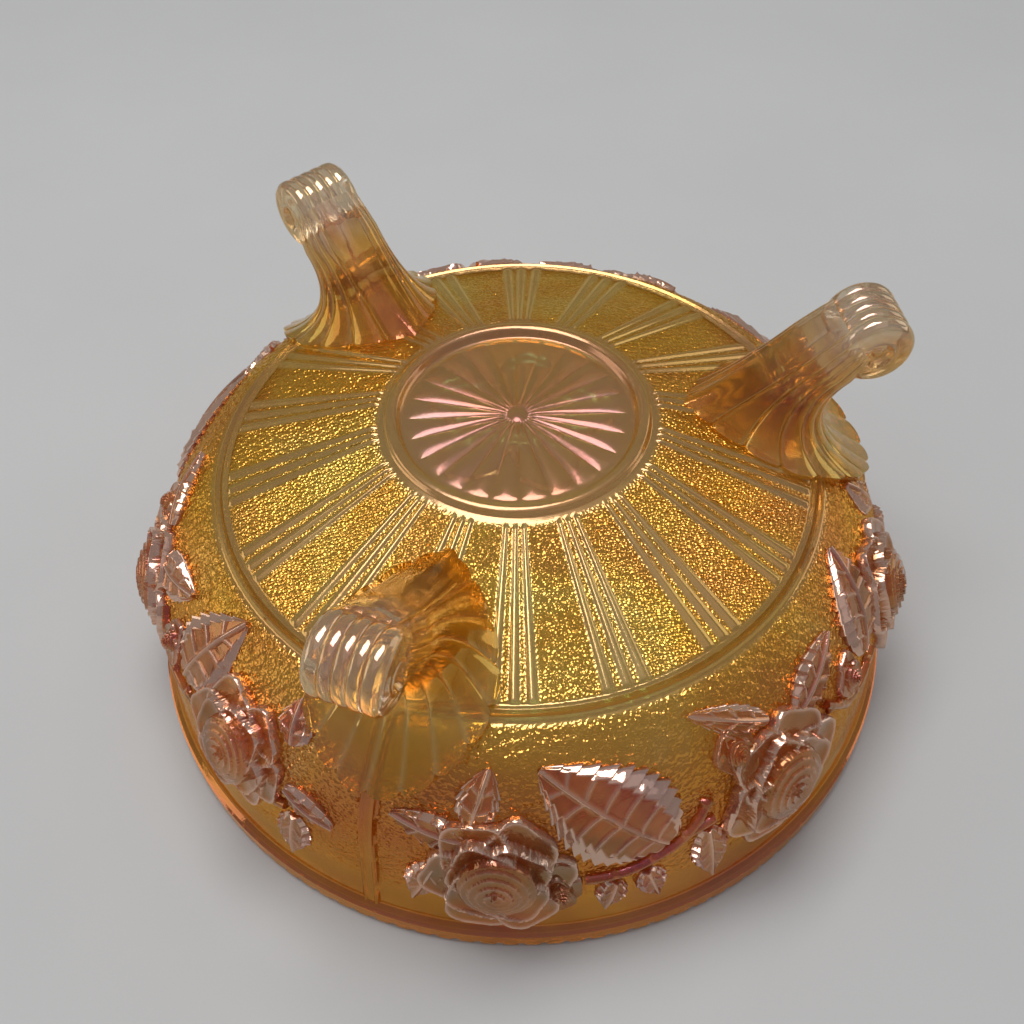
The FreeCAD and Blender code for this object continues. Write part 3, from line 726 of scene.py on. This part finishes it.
FOOT_FLUTES = 18
FLUTE_COLUMNS = 12
FLUTE_DEPTH, NECK_FLUTE_DEPTH = 1.7, 0.55
LIP_ROWS, HORN_ROWS, CREST_ROWS = 9, 52, 14
KNOB_RADIUS = 9.0
KNOB_WIDTH = 17.5
KNOB_FLUTES = 5
KNOB_FLUTE_DEPTH = 0.6
KNOB_COLUMNS = 108
KNOB_REACH = FOOT_REACH - KNOB_RADIUS
KNOB_LEVEL = FOOT_TOP - KNOB_RADIUS

# Sections across the horn: reach, height, lean from upright in degrees, half depth and half width.
NECK = (KNOB_REACH - 10.0, KNOB_LEVEL - 5.3, 32.0, 8.8, 9.8)
CREST = (KNOB_REACH - 3.5, KNOB_LEVEL + 1.2, 50.0, 7.2, 8.8)


def horn_ring(angle, reach, level, lean, depth, width):
    """A plain oval ring across the horn."""
    lean = math.radians(lean)
    out = depth * np.cos(angle)
    return np.stack([reach + out * math.cos(lean), width * np.sin(angle), level - out * math.sin(lean)], 1)


def flute_place(angle):
    """Place across a flute, from -0.5 to 0.5, and a share that is 0 on the plain side towards the star."""
    place_across = (angle * FOOT_FLUTES / TURN) % 1.0 - 0.5
    from_star_side = np.abs(angle_from(angle, math.pi))
    return place_across, smooth_step((from_star_side - math.radians(18.0)) / math.radians(25.0))


def fluted(ring, angle, depth):
    """Pushes a ring out between its flutes' creases."""
    place_across, share = flute_place(angle)
    out = ring - ring.mean(axis=0)
    out /= np.linalg.norm(out, axis=1)[:, None]
    return ring + out * (ridge(place_across, 1.0) * depth * share)[:, None]


def flute_lines(angle):
    """1 along the creases between the flutes and 0 on the flutes."""
    place_across, share = flute_place(angle)
    return smooth_step((np.abs(place_across) - 0.36) / 0.12) * share


def horn():
    """The flared, fluted horn, from its hidden base in the glass up into the scroll."""
    angle = azimuths(FOOT_FLUTES * FLUTE_COLUMNS)
    lines = flute_lines(angle)
    reach, across = foot_plan(angle)
    base = np.stack([reach, across, skin_level(np.hypot(reach, across)) - SUNK], 1)
    neck = horn_ring(angle, *NECK)

    # From a rolled lip round the base, curves bend through a control ring into the neck.  Each of these is
    # given for the side that faces outward and for the side towards the star.
    outward = (1.0 + np.cos(angle))[:, None] / 2.0
    pull = (1.0 - outward) * np.array((-10.5, 0.0, -9.2)) + outward * np.array((-14.5, 0.0, -12.8))
    control = neck * np.array((1.0, 0.86, 1.0)) + pull
    lip = base + outward * np.array((1.5, 0.0, 3.2)) + (1.0 - outward) * np.array((0.0, 0.0, 0.8))

    loops, marks = [], []
    for share in (0.1, 0.35, 0.6, 0.82):
        x, y = FOOT_MIDDLE + (reach - FOOT_MIDDLE) * share, across * share
        loops.append(np.stack([x, y, skin_level(np.hypot(x, y)) - SUNK], 1))
        marks.append(SMOOTH)
    for share in np.linspace(0.0, 0.9, LIP_ROWS):
        swell = math.sqrt(1.0 - (1.0 - share) ** 2)
        loops.append(fluted(base + (lip - base) * share, angle, FLUTE_DEPTH * swell))
        marks.append(np.maximum(lines, 0.7))
    for share in np.linspace(0.0, 1.0, HORN_ROWS):
        curve = (1 - share) ** 2 * lip + 2 * share * (1 - share) * control + share ** 2 * neck
        depth = FLUTE_DEPTH - (FLUTE_DEPTH - NECK_FLUTE_DEPTH) * share ** 0.6
        loops.append(fluted(curve, angle, depth))
        marks.append(lines)
    for share in np.linspace(0.08, 1.0, CREST_ROWS):
        section = [a + (b - a) * share for a, b in zip(NECK, CREST)]
        loops.append(fluted(horn_ring(angle, *section), angle, NECK_FLUTE_DEPTH))
        marks.append(lines)
    skin = Skin()
    skin.capped(loops, marks)
    return skin


def scroll():
    """The rolled end of a foot, fluted round its roll, with a sunk eye on each side."""
    half = KNOB_WIDTH / 2.0
    shoulder = half * 0.86
    across = np.linspace(-shoulder, shoulder, FLUTE_COLUMNS * KNOB_FLUTES + 1)
    place_across = ((across + shoulder) / (2.0 * shoulder) * KNOB_FLUTES) % 1.0 - 0.5
    crease_radius = KNOB_RADIUS - KNOB_FLUTE_DEPTH
    crown = crease_radius + KNOB_FLUTE_DEPTH * ridge(place_across, 1.0)
    side = np.linspace(0.0, math.pi / 2.0, 7)[1:]
    edge_y = shoulder + (half - shoulder) * np.sin(side)
    edge_r = KNOB_RADIUS * 0.55 + (crease_radius - KNOB_RADIUS * 0.55) * np.cos(side)
    eye = [(half, 3.9), (half + 0.25, 3.5), (half, 3.1),
           (half - 1.1, 2.4), (half - 1.2, 1.6), (half - 0.7, 0.8)]
    right = list(zip(edge_y, edge_r)) + eye
    line = [(-y, r) for y, r in right[::-1]] + list(zip(across, crown)) + right
    turn = azimuths(KNOB_COLUMNS)
    loops = []
    for y, r in line:
        x, z = KNOB_REACH + r * np.cos(turn), KNOB_LEVEL + r * np.sin(turn)
        loops.append(np.stack([x, np.full_like(turn, y), z], 1))
    skin = Skin()
    skin.capped(loops)
    return skin


def foot():
    """One foot at azimuth 0: the horn and its scroll as one closed surface."""
    parts = []
    for name, skin in (("horn", horn()), ("scroll", scroll())):
        parts.append(bpy.data.objects.new(name, skin.mesh(name)))
        bpy.context.scene.collection.objects.link(parts[-1])
    union = parts[0].modifiers.new("union", "BOOLEAN")
    union.operation = "UNION"
    union.solver = "EXACT"
    union.object = parts[1]
    depsgraph = bpy.context.evaluated_depsgraph_get()
    mesh = bpy.data.meshes.new_from_object(parts[0].evaluated_get(depsgraph))
    mesh.name = "foot"
    for part in parts:
        bpy.data.objects.remove(part)
    crease(mesh, 38.0)
    return mesh


# ---------------------------------------------------------------------------------------------------
# Materials
# ---------------------------------------------------------------------------------------------------


class Recipe:
    """A material's node tree, with short ways to add what the materials share."""

    def __init__(self, name):
        self.material = bpy.data.materials.new(name)
        self.material.use_nodes = True
        self.nodes = self.material.node_tree.nodes
        self.shader = self.nodes["Principled BSDF"]
        self.place = self.node("ShaderNodeTexCoord").outputs["Object"]

    def node(self, kind, **inputs):
        """A new node with its inputs set or linked; an underscore stands for a space in their names."""
        node = self.nodes.new(kind)
        for name, value in inputs.items():
            self.feed(node.inputs[name.replace("_", " ")], value)
        return node

    def feed(self, socket, value):
        """Links a socket to another, or sets it to a plain value."""
        if isinstance(value, bpy.types.NodeSocket):
            self.material.node_tree.links.new(value, socket)
        else:
            socket.default_value = value

    def set(self, **inputs):
        """Sets or links inputs of the shader."""
        for name, value in inputs.items():
            self.feed(self.shader.inputs[name.replace("_", " ")], value)

    def noise(self, scale, detail=3.0, roughness=0.55, distortion=0.0):
        """Cloudy noise, with scale in features to the metre."""
        return self.node("ShaderNodeTexNoise", Vector=self.place, Scale=scale, Detail=detail,
                         Roughness=roughness, Distortion=distortion).outputs["Fac"]

    def grains(self, scale):
        """Distance from the middle of the nearest grain."""
        return self.node("ShaderNodeTexVoronoi", Vector=self.place, Scale=scale).outputs["Distance"]

    def spread(self, value, low, high, start, end):
        """Maps a value's range onto another."""
        node = self.node("ShaderNodeMapRange", Value=value)
        node.inputs["From Min"].default_value = low
        node.inputs["From Max"].default_value = high
        node.inputs["To Min"].default_value = start
        node.inputs["To Max"].default_value = end
        return node.outputs["Result"]

    def finish(self):
        """The finish kept on the mesh's points."""
        node = self.nodes.new("ShaderNodeAttribute")
        node.attribute_name = "finish"
        return node.outputs["Fac"]

    def maths(self, operation, a, b=0.0):
        """The result of an operation on one or two values."""
        node = self.nodes.new("ShaderNodeMath")
        node.operation = operation
        self.feed(node.inputs[0], a)
        self.feed(node.inputs[1], b)
        return node.outputs[0]

    def height(self):
        """Height above the rim's plane, in metres."""
        return self.node("ShaderNodeSeparateXYZ", Vector=self.place).outputs["Z"]

    def reach(self):
        """Distance from the bowl's axis, in metres."""
        split = self.node("ShaderNodeSeparateXYZ", Vector=self.place).outputs
        squares = self.maths("ADD", self.maths("MULTIPLY", split["X"], split["X"]),
                             self.maths("MULTIPLY", split["Y"], split["Y"]))
        return self.maths("SQRT", squares)

    def ramp(self, value, *stops):
        """Colours along a value; each stop is a place and a colour."""
        node = self.node("ShaderNodeValToRGB", Fac=value)
        elements = node.color_ramp.elements
        while len(elements) < len(stops):
            elements.new(0.5)
        for element, (position, colour) in zip(elements, stops):
            element.position = position
            element.color = (*colour, 1.0)
        return node.outputs["Color"]

    def blend(self, share, first, second):
        """A mix of two colours, or of two values, that is the second where share is 1."""
        node = self.nodes.new("ShaderNodeMix")
        node.data_type = "RGBA"
        self.feed(node.inputs["Factor"], share)
        for name, value in (("A", first), ("B", second)):
            socket = [s for s in node.inputs if s.name == name and s.type == "RGBA"][0]
            self.feed(socket, value if isinstance(value, bpy.types.NodeSocket) else (*value, 1.0))
        return [s for s in node.outputs if s.type == "RGBA"][0]

    def bump(self, height, distance, strength):
        """Surface directions of fine relief, with distance in metres."""
        node = self.node("ShaderNodeBump", Height=height, Distance=distance, Strength=strength)
        return node.outputs["Normal"]

    def polish(self, scale, low, high):
        """Roughness that drifts between two values, with scale in features to the metre."""
        return self.spread(self.noise(scale), 0.3, 0.7, low, high)

    def lustre(self, film_low, film_high, film_index=1.9):
        """An iridescent film whose thickness, in nanometres, drifts over the glass."""
        film = self.spread(self.noise(28.0, 2.0), 0.3, 0.7, film_low, film_high)
        self.set(Thin_Film_Thickness=film, Thin_Film_IOR=film_index)


PALE_GOLD = (1.0, 0.74, 0.14)
GOLD = (1.0, 0.57, 0.05)
AMBER = (0.92, 0.42, 0.045)
BURNT = (0.64, 0.19, 0.035)
WINE = (0.36, 0.05, 0.016)
# Near white for the feet's tops: partly clearer glass, partly a painted silvery reflection.
CLEAR_WITH_SHEEN = (0.97, 0.94, 0.84)
RELIEF = 0.0004                # reach of the materials' fine relief, in metres


def shell_colour(recipe, finish, high, smooth, middle):
    """Golden underside and burnt amber side, the underside's paler gold against the side's darker amber
    being painted light from overhead; paler ribs as a painted highlight; amber star, coppery rim and pale
    inner face.
    """
    cloud = recipe.noise(22.0, 4.0, 0.6, 0.6)
    golden = recipe.ramp(cloud, (0.37, AMBER), (0.54, GOLD), (0.70, PALE_GOLD))
    lower = recipe.ramp(cloud, (0.30, BURNT), (0.60, AMBER), (0.80, (0.94, 0.60, 0.24)))
    # Painted light: the upper underside is a paler gold and the side a darker burnt amber, as if lit from
    # overhead.
    colour = recipe.blend(high, lower, golden)
    # Painted highlight: the smooth ribs, bead and collar are made paler, in place of the light that they
    # catch.
    colour = recipe.blend(smooth, colour, (1.0, 0.80, 0.32))
    colour = recipe.blend(middle, colour, (0.96, 0.60, 0.24))
    rim = recipe.spread(recipe.height(), 0.005, 0.008, 0.9, 0.0)
    colour = recipe.blend(rim, colour, (0.96, 0.36, 0.12))
    inner_face = recipe.spread(finish, INSIDE, SMOOTH, 1.0, 0.0)
    return recipe.blend(inner_face, colour, (0.99, 0.80, 0.42))


def shell_relief(recipe, finish, high):
    """Fine grains where the mesh is stippled, finest on the underside, and a faint unevenness all over."""
    grains = recipe.blend(high, recipe.grains(950.0), recipe.grains(1250.0))
    relief = recipe.maths("MULTIPLY", grains, recipe.spread(finish, SMOOTH, 1.0, 0.0, 1.0))
    return recipe.maths("ADD", relief, recipe.maths("MULTIPLY", recipe.noise(260.0, 3.0), 0.12))


def shell_glass():
    """Marigold glass of the body; its metal sheen lies on the outer face and is weakest on the star."""
    recipe = Recipe("marigold_body_glass")
    finish = recipe.finish()
    # The underside from 50 mm up, which is painted a paler gold than the side as painted light from
    # overhead.
    high = recipe.spread(recipe.height(), 0.050, 0.066, 0.0, 1.0)
    # The underside's smooth glass, which is painted paler as a highlight and made a little rougher.
    smooth = recipe.maths("MULTIPLY", recipe.spread(finish, SMOOTH, 1.0, 0.6, 0.0), high)
    middle = recipe.spread(recipe.reach(), 0.024, 0.036, 0.8, 0.0)
    off_star = recipe.maths("SUBTRACT", 1.0, recipe.maths("MULTIPLY", middle, 0.9))
    on_outside = recipe.spread(finish, INSIDE, 0.4, 0.0, 0.54)
    softer = recipe.maths("MULTIPLY", smooth, 0.16)
    recipe.set(
        Base_Color=shell_colour(recipe, finish, high, smooth, middle), IOR=1.5, Transmission_Weight=0.88,
        Metallic=recipe.maths("MULTIPLY", on_outside, off_star),
        Roughness=recipe.maths("ADD", recipe.polish(90.0, 0.04, 0.11), softer),
        Specular_Tint=(1.0, 0.82, 0.48, 1.0),
        Normal=recipe.bump(shell_relief(recipe, finish, high), RELIEF, 1.0))
    recipe.lustre(266.0, 304.0)
    return recipe.material


def foot_glass():
    """Amber glass of the feet: golden at the base, burnt halfway up, and pale at the scroll, partly clearer
    glass and partly a painted silvery reflection.
    """
    recipe = Recipe("horn_foot_glass")
    climb = recipe.spread(recipe.height(), 0.055, 0.100, 0.0, 1.0)
    cloud = recipe.noise(45.0, 3.0, 0.6, 0.8)
    drift = recipe.maths("MULTIPLY", recipe.maths("SUBTRACT", cloud, 0.5), 0.5)
    # The top of the ramp is partly a painted silvery reflection on the scroll.
    colour = recipe.ramp(
        recipe.maths("ADD", climb, drift), (0.05, (1.0, 0.68, 0.12)), (0.24, (1.0, 0.82, 0.26)),
        (0.40, (0.96, 0.44, 0.04)), (0.58, (0.36, 0.10, 0.014)), (0.74, (0.84, 0.50, 0.17)), (0.90, CLEAR_WITH_SHEEN))
    line = recipe.finish()
    colour = recipe.blend(recipe.maths("MULTIPLY", line, 0.5), colour, (1.0, 0.82, 0.46))
    recipe.set(
        Base_Color=colour, IOR=1.5, Transmission_Weight=0.92,
        Metallic=recipe.spread(line, 0.0, 1.0, 0.14, 0.36),
        Roughness=recipe.polish(120.0, 0.03, 0.10),
        Specular_Tint=(1.0, 0.88, 0.68, 1.0),
        Normal=recipe.bump(recipe.noise(420.0, 3.0), RELIEF, 0.15))
    recipe.lustre(242.0, 270.0)
    return recipe.material


def rose_glass():
    """Wine-brown lustre of the garland, paler and silvery along the lips, veins and bevels: partly the
    edges' own lustre, partly a painted highlight.
    """
    recipe = Recipe("rose_lustre_glass")
    cloud = recipe.noise(60.0, 4.0, 0.6, 0.8)
    colour = recipe.ramp(cloud, (0.34, WINE), (0.52, (0.68, 0.15, 0.035)), (0.72, (0.90, 0.36, 0.09)))
    lip = recipe.finish()
    # Partly a painted highlight: lips, veins and bevels are blended towards a pale silvery pink.
    colour = recipe.blend(recipe.maths("MULTIPLY", lip, 0.7), colour, (1.0, 0.78, 0.64))
    recipe.set(
        Base_Color=colour, IOR=1.52, Transmission_Weight=0.65,
        Metallic=recipe.spread(lip, 0.0, 1.0, 0.05, 0.62),
        Roughness=recipe.polish(150.0, 0.03, 0.09),
        Coat_Weight=0.3, Coat_Roughness=0.03, Coat_IOR=1.6, Specular_Tint=(1.0, 0.86, 0.76, 1.0),
        Normal=recipe.bump(recipe.noise(700.0, 3.0), RELIEF, 0.2))
    recipe.lustre(246.0, 282.0, 1.85)
    return recipe.material


def table_paper():
    """Pale matt table top with a faint mottle."""
    recipe = Recipe("pale_table")
    shade = recipe.ramp(recipe.noise(9.0, 4.0), (0.3, (0.61, 0.613, 0.617)), (0.7, (0.64, 0.643, 0.647)))
    recipe.set(Base_Color=shade, Roughness=0.6, Specular_IOR_Level=0.3,
               Normal=recipe.bump(recipe.noise(900.0, 3.0), 0.0003, 0.1))
    return recipe.material


# ---------------------------------------------------------------------------------------------------
# Stage
# ---------------------------------------------------------------------------------------------------


def table():
    """A large flat table that reaches 2.5 metres to each side, just under the rim."""
    half = 2.5
    mesh = bpy.data.meshes.new("table")
    corners = [(-half, -half, 0.0), (half, -half, 0.0), (half, half, 0.0), (-half, half, 0.0)]
    mesh.from_pydata(corners, [], [(0, 1, 2, 3)])
    mesh.materials.append(table_paper())
    top = bpy.data.objects.new("table", mesh)
    top.location.z = -0.0001
    bpy.context.scene.collection.objects.link(top)


BOWL_MIDDLE = (0.0, 0.0, 0.05)
WHITE = (1.0, 1.0, 1.0)


def softbox(name, stand, width, depth, power, tint):
    """A soft rectangular light that faces the bowl."""
    light = bpy.data.lights.new(name, "AREA")
    light.shape = "RECTANGLE"
    light.size, light.size_y = width, depth
    light.energy = power
    light.color = tint
    lamp = bpy.data.objects.new(name, light)
    lamp.location = stand
    lamp.rotation_euler = (Vector(BOWL_MIDDLE) - Vector(stand)).to_track_quat("-Z", "Y").to_euler()
    bpy.context.scene.collection.objects.link(lamp)


def room():
    """Plain pale surroundings, the same all round."""
    world = bpy.data.worlds.new("room")
    world.use_nodes = True
    background = world.node_tree.nodes["Background"]
    background.inputs["Color"].default_value = (0.97, 0.98, 1.0, 1.0)
    background.inputs["Strength"].default_value = 0.27
    bpy.context.scene.world = world


def lights():
    """A key light almost overhead, a wide fill above it and a low fill on each side."""
    softbox("key", (-0.10, 0.12, 1.0), 0.65, 0.45, 4.7, (1.0, 0.99, 0.97))
    softbox("overhead", (0.0, -0.05, 1.1), 1.3, 1.1, 0.9, WHITE)
    softbox("left_side", (-1.1, 0.15, 0.42), 0.8, 0.55, 1.4, WHITE)
    softbox("right_side", (1.1, 0.25, 0.42), 0.8, 0.55, 1.1, WHITE)


def camera():
    """The photograph's view: from the front and above, with foot_3 nearest."""
    data = bpy.data.cameras.new("camera")
    data.sensor_width = 36.0
    data.lens = 42.19
    forward = Vector((0.08646, 0.63448, -0.76809))
    up = Vector((0.12854, 0.75744, 0.64014))
    right = forward.cross(up).normalized()
    turn = Matrix((right, right.cross(forward), -forward)).transposed()
    eye = bpy.data.objects.new("camera", data)
    eye.matrix_world = Matrix.Translation(Vector((-29.16, -199.90, 283.07)) * MM) @ turn.to_4x4()
    bpy.context.scene.collection.objects.link(eye)
    bpy.context.scene.camera = eye


def look_of_light():
    """Enough bounces for light to pass through several walls of glass."""
    scene = bpy.context.scene
    scene.view_settings.view_transform = "Standard"
    scene.cycles.max_bounces = 18
    scene.cycles.transmission_bounces = 16
    scene.cycles.glossy_bounces = 8
    scene.cycles.sample_clamp_indirect = 6.0


def build():
    """The bowl in its three glasses, on its table in the light."""
    body, feet, garland = shell_glass(), foot_glass(), rose_glass()
    seams = ["mould_seam_%d" % (panel + 1) for panel in range(PANELS)]
    place("bowl_shell", bowl_shell(), body, "amber_glass", "rim_band", "side_wall", "bead_ring",
          "ribbed_base", "collar_ring", "star_medallion", *seams)
    place_in_panels("foot", foot(), feet, "golden_glass")
    for name in ROSES:
        place_in_panels(name + "_rose", rose(name), garland, "rose_lustre")
    place_in_panels("leaves", leaves(), garland, "rose_lustre")
    place_in_panels("buds", buds(), garland, "rose_lustre")
    place_in_panels("stems", stems(), garland, "rose_lustre")
    table()
    room()
    lights()
    camera()
    look_of_light()


build()
